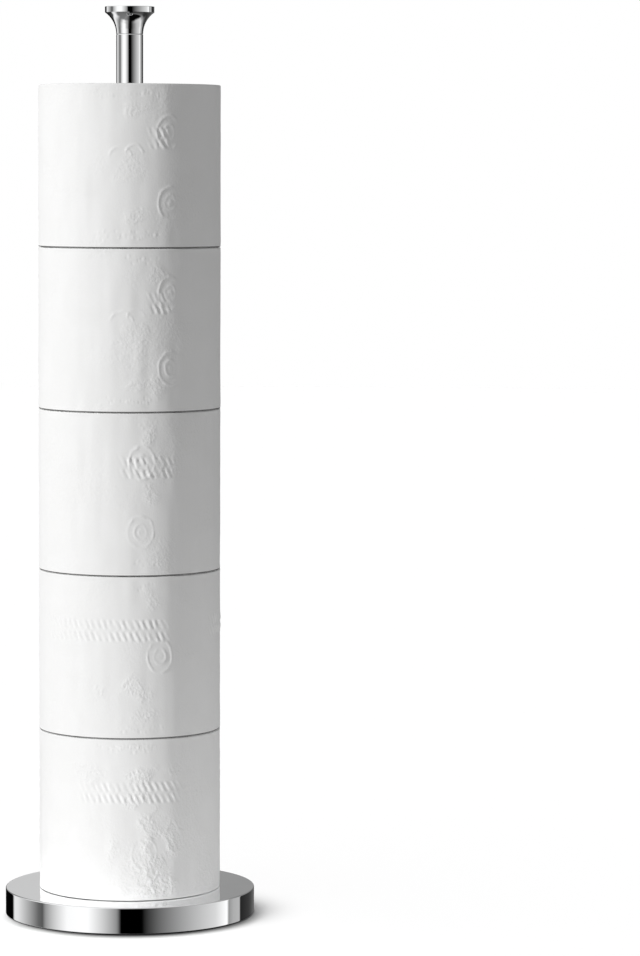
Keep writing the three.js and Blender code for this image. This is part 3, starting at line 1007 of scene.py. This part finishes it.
# Height of the embossing at (around, up) in mm on the flat sheet, and how crumpled the sheet is there.
def embossRise(values, pattern, around, up, girth, width, seed):
    turn, tall = around / girth, up / width
    third = girth / 3
    perDegree = girth / 360

    def soft(key, at=turn):
        cellsRound, cellsUp, draw = values["cells"][key]
        return softNoise(at, tall, cellsRound, cellsUp, seed + draw)

    # soft paper: the pattern is pulled a little out of shape and pressed unevenly
    across = np.mod(around + third / 2, third) - third / 2
    across = across + values["stretch"] * soft("sideways")
    high = up + values["stretch"] * soft("upward")
    pressed = 1 - values["worn"] * np.clip(values["wornLeast"] + values["wornGain"] * soft("worn"), 0, 1)
    rise = np.zeros_like(around)
    for first, last in pattern["bands"]:
        for height in values["bandHeights"]:
            along = across + (high - height) * values["strokeLean"]
            beyond = np.abs(high - height) - values["strokeLong"] / 2 + values["strokeEnd"]
            inside = hump(np.clip(beyond, 0, None), values["strokeEndWide"])
            for past in (along - first * perDegree, last * perDegree - along):
                inside = inside * np.clip(past / values["strokeFade"] + 0.5, 0, 1)
            rise += values["strokeRise"] * np.cos(2 * math.pi * along / values["strokePitch"]) * inside
    for middle, height, strong in pattern["medallions"]:
        away = np.hypot(across - middle * perDegree, (high - height) * values["oval"])
        strong = strong * np.clip((values["ringsEnd"] - across / perDegree) / values["ringsFade"], 0, 1)
        for radius, wide, tallness in values["circles"]:
            rise += strong * tallness * hump(away - radius, wide)
    for middle, height in pattern["swirls"]:
        for sideways, lift, radius in values["arcs"]:
            away = np.hypot(across - middle * perDegree - sideways, high - height - lift)
            upper = high > height + lift + radius * values["arcOpen"]
            rise += values["arcRise"] * hump(away - radius, values["arcWide"]) * upper
    random = np.random.default_rng(seed)
    for first, last, height in pattern["dotted"]:
        for spot in np.arange(first * perDegree, last * perDegree, values["dotPitch"]):
            level = height + random.uniform(-values["dotStray"], values["dotStray"])
            near = (np.abs(across - spot) < values["dotWide"]) & (np.abs(high - level) < values["dotWide"])
            away = np.hypot(across[near] - spot, high[near] - level)
            rise[near] += random.choice((-1, 1)) * values["dotRise"] * hump(away, values["dotWide"])
    rise *= pressed
    # creases: ridges that wander through the crumpled places
    crumple = values["lightly"] * np.clip(values["lightly"] + soft("lightly"), 0, 1)
    for middle, height, wide, deep, strong in pattern["creased"]:
        away = np.hypot((across - middle * perDegree) / (wide * perDegree), (up - height) / deep)
        away = np.clip(away + values["ragged"] * soft("ragged"), 0, None)
        patch = np.clip(values["full"] * hump(away, values["spread"]), 0, 1)
        crumple = np.maximum(crumple, strong * patch)
    slant = values["creaseSlant"] * up / girth
    ridges = np.minimum(np.abs(soft("risingRight", turn + slant)), np.abs(soft("risingLeft", turn - slant)))
    ridges = np.clip(1 - values["ridgeSharp"] * ridges, 0, 1)
    rise += values["creaseRise"] * crumple * (ridges - values["ridgeFoot"])
    rise += values["streak"] * soft("streak") + values["cloud"] * soft("cloud")
    for edge in (values["crimpIn"], width - values["crimpIn"]):
        rise -= values["crimp"] * hump(up - edge, values["crimpWide"])
    return rise, crumple


# Shapes one roll out of its blank: spiral outline with the sheet's free edge, eased rims, embossing.
def windPaper(piece, values, tail, pattern, seed):
    mesh = piece.data
    spots = readSpots(mesh)
    radius, width, bore, easing = pick(values, "radius width bore rimEase")
    out = np.hypot(spots[:, 0], spots[:, 1])
    up = spots[:, 2]
    turn = np.mod(np.arctan2(spots[:, 1], spots[:, 0]) / (2 * math.pi), 1.0)
    column = np.round(turn * values["around"]) % values["around"]
    turn = column / values["around"]
    onSide = out > radius - onSurface
    onEnd = ~onSide & (out >= bore + onSurface)
    outer = radius - values["sheet"] * turn
    girth = 2 * math.pi * radius

    # rows sit closer together at the rims, where the paper rounds over
    slopes = values["rimSlopes"]
    rimRows = len(slopes) - 1
    rows = values["halfRows"] * 2
    row = np.round(up / width * rows)
    fromEnd = np.minimum(row, rows - row)
    atRim = fromEnd <= rimRows
    slope = np.radians(np.interp(fromEnd, range(rimRows + 1), slopes))
    middle = easing + (fromEnd - rimRows) * (width / 2 - easing) / (values["halfRows"] - rimRows)
    distance = np.where(atRim, easing * (1 - np.sin(slope)), middle)
    sideUp = np.where(row <= values["halfRows"], distance, width - distance)
    sideOut = outer - np.where(atRim, easing * (1 - np.cos(slope)), 0)

    # the pattern is placed from the camera side, wherever the sheet ends
    around = np.mod(turn * girth + (tail + 90) / 360 * girth, girth)
    fade = np.clip((np.minimum(sideUp, width - sideUp) - easing) / values["fadeIn"], 0, 1)
    rise, crumple = embossRise(embossSet, pattern, around, sideUp, girth, width, seed)
    rise = rise - values["pressedIn"]
    mesh.attributes.new("crumple", "FLOAT", "POINT").data.foreach_set("value", crumple * onSide)
    newOut = np.where(onSide, sideOut + rise * fade, out)
    newUp = np.where(onSide, sideUp, up)

    # end faces: layers that stand a little uneven
    share = (out - bore) / (radius - bore)
    sunk = values["sunk"]
    for deep, cellsRound, cellsOut, draw in values["uneven"]:
        sunk = sunk + deep * softNoise(turn, share, cellsRound, cellsOut, seed + draw)
    sunk = np.clip(sunk, 0, values["sunkMost"])
    ringShare = (out - bore) / (radius - easing - bore)
    newOut = np.where(onEnd, bore + (outer - easing - bore) * ringShare, newOut)
    newUp = np.where(onEnd, np.where(up > width / 2, width - sunk, sunk), newUp)

    # the free edge, cut in perforation teeth, and the sheet's side that it lies on
    angle = turn * 2 * math.pi
    fromTooth = np.abs(np.mod(newUp / values["toothPitch"], 1.0) - 0.5)
    teeth = values["toothDeep"] * fromTooth + values["toothFoot"]
    last = (column == values["around"] - 1) & onSide
    angle = np.where(last, 2 * math.pi - (teeth + values["edgeGap"]) / radius, angle)
    first = (column == 0) & onSide
    angle = np.where(first, -teeth / radius, angle)
    angle += math.radians(tail)
    writeSpots(mesh, np.stack([newOut * np.cos(angle), newOut * np.sin(angle), newUp], axis=1))


# Gives the end faces, whose normals point up or down, the second finish.
def endFaces(piece, least):
    for face in piece.data.polygons:
        face.material_index = 1 if abs(face.normal.z) > least else 0


# A copy of the blank with its own mesh.
def copyBlank(blank, name):
    piece = blank.copy()
    piece.data = blank.data.copy()
    piece.name = name
    piece.data.name = name
    scene.collection.objects.link(piece)
    return piece


def moveUp(piece, distance):
    piece.data.transform(Matrix.Translation((0, 0, distance * mm)))


def makePapers(values):
    radius, width, bore, easing, around = pick(values, "radius width bore rimEase around")
    rings = values["rings"] - 1
    insets = [easing] + [(radius - easing - bore) / rings] * rings
    # the second cut halves every row, so that one row of points lies in the middle
    cuts = (values["halfRows"] - 1, 1)
    blank = tubeBlank("paperBlank", radius, width, around, cuts, insets, values["boreRows"])
    papers = []
    for number in range(1, values["count"] + 1):
        paper = copyBlank(blank, f"rollPaper{number}")
        tail, pattern, seed = values["tails"][number - 1], patterns[number - 1], number * values["drawStep"]
        windPaper(paper, values, tail, pattern, seed)
        smoothShade(paper, values["smooth"])
        finishPiece(paper, [tissue, tissueEnd], f"paper_{number}", f"roll_{number}_paper")
        endFaces(paper, values["endSlope"])
        moveUp(paper, values["foot"] + (number - 1) * values["pitch"])
        papers.append(paper)
    bpy.data.objects.remove(blank)
    return papers


coreSet = {
    "outer": 21.0, "inner": 20.0, "around": 144, "rows": 95, "lip": 0.2, "chamfer": 0.15, "smooth": 40,
    "seamDeep": 0.12, "seamWide": 1.4, "seamRise": 78.0,
    "seamTurns": 3,  # times the place of the sheet's end, so that no two cores show their seam alike
}


def makeCores(values, rolls):
    outer, inner, rows, lip = pick(values, "outer inner rows lip")
    insets = (lip, outer - inner - 2 * lip, lip)
    blank = tubeBlank("coreBlank", outer, rolls["width"], values["around"], (rows,), insets, rows)
    spots = readSpots(blank.data)
    out = np.hypot(spots[:, 0], spots[:, 1])
    up = spots[:, 2]
    turn = np.arctan2(spots[:, 1], spots[:, 0]) / (2 * math.pi)
    # a shallow groove where the strips of board meet as they wind up the core
    lay = np.mod(up / values["seamRise"] - turn + 0.5, 1.0) - 0.5
    seam = hump(lay * values["seamRise"], values["seamWide"]) * values["seamDeep"]
    atInner = out < inner + onSurface
    atOuter = out > outer - onSurface
    newOut = out + np.where(atInner, seam, 0) - np.where(atOuter, seam, 0)
    inward = np.where(up < rolls["width"] / 2, 1, -1)
    atEnd = np.minimum(up, rolls["width"] - up) < onSurface
    newUp = up + np.where(atEnd & (atInner | atOuter), values["chamfer"] * inward, 0)
    scale = newOut / out
    writeSpots(blank.data, np.stack([spots[:, 0] * scale, spots[:, 1] * scale, newUp], axis=1))
    cores = []
    for number in range(1, rolls["count"] + 1):
        core = copyBlank(blank, f"rollCore{number}")
        smoothShade(core, values["smooth"])
        turned = math.radians(rolls["tails"][number - 1] * values["seamTurns"])
        core.data.transform(Matrix.Rotation(turned, 4, "Z"))
        moveUp(core, rolls["foot"] + (number - 1) * rolls["pitch"])
        finishPiece(core, [cardboard], f"core_{number}", f"roll_{number}_core")
        cores.append(core)
    bpy.data.objects.remove(blank)
    return cores


tissue = makeTissue(tissueSet, rollSet)
tissueEnd = makeTissueEnd(rollEndSet)
cardboard = makeCardboard(boardSet, coreSet["seamRise"])
print("roll finishes made")
cores = makeCores(coreSet, rollSet)
print("cores made")
papers = makePapers(rollSet)
print("papers wound")


# lamps: degrees round from the back and up from the floor, power, and degrees across

lampSet = {
    "place": (-1.5, -1.0, 1.5),
    "keyLight": (-60.0, 16.0, 2.44, 5.0),
    "floorWash": (-72.0, 54.0, 3.1, 64.0),
}


def addSun(name, values):
    azimuth, height, power, size = values[name]
    clearSelection()
    bpy.ops.object.light_add(type="SUN", location=values["place"])
    sun = bpy.context.object
    sun.name = name
    turn = Matrix.Rotation(math.radians(azimuth), 3, "Z") @ Matrix.Rotation(math.radians(90 - height), 3, "X")
    sun.rotation_euler = turn.to_euler()
    sun.data.energy = power
    sun.data.angle = math.radians(size)
    sun.visible_glossy = False
    return sun


def linkTo(name, pieces):
    group = bpy.data.collections.new(name)
    for piece in pieces:
        group.objects.link(piece)
    return group


key = addSun("keyLight", lampSet)
shown = [o for o in scene.objects if o.type == "MESH" and o != floor]
key.light_linking.receiver_collection = linkTo("litByKey", shown)
wash = addSun("floorWash", lampSet)
wash.light_linking.receiver_collection = linkTo("litByWash", [floor])
wash.light_linking.blocker_collection = linkTo("shadesWash", [cover, pad])
for piece in papers[1:] + cores:
    piece.visible_glossy = False  # the photograph's finial mirrors the studio alone
print("lamps placed")

clearSelection()
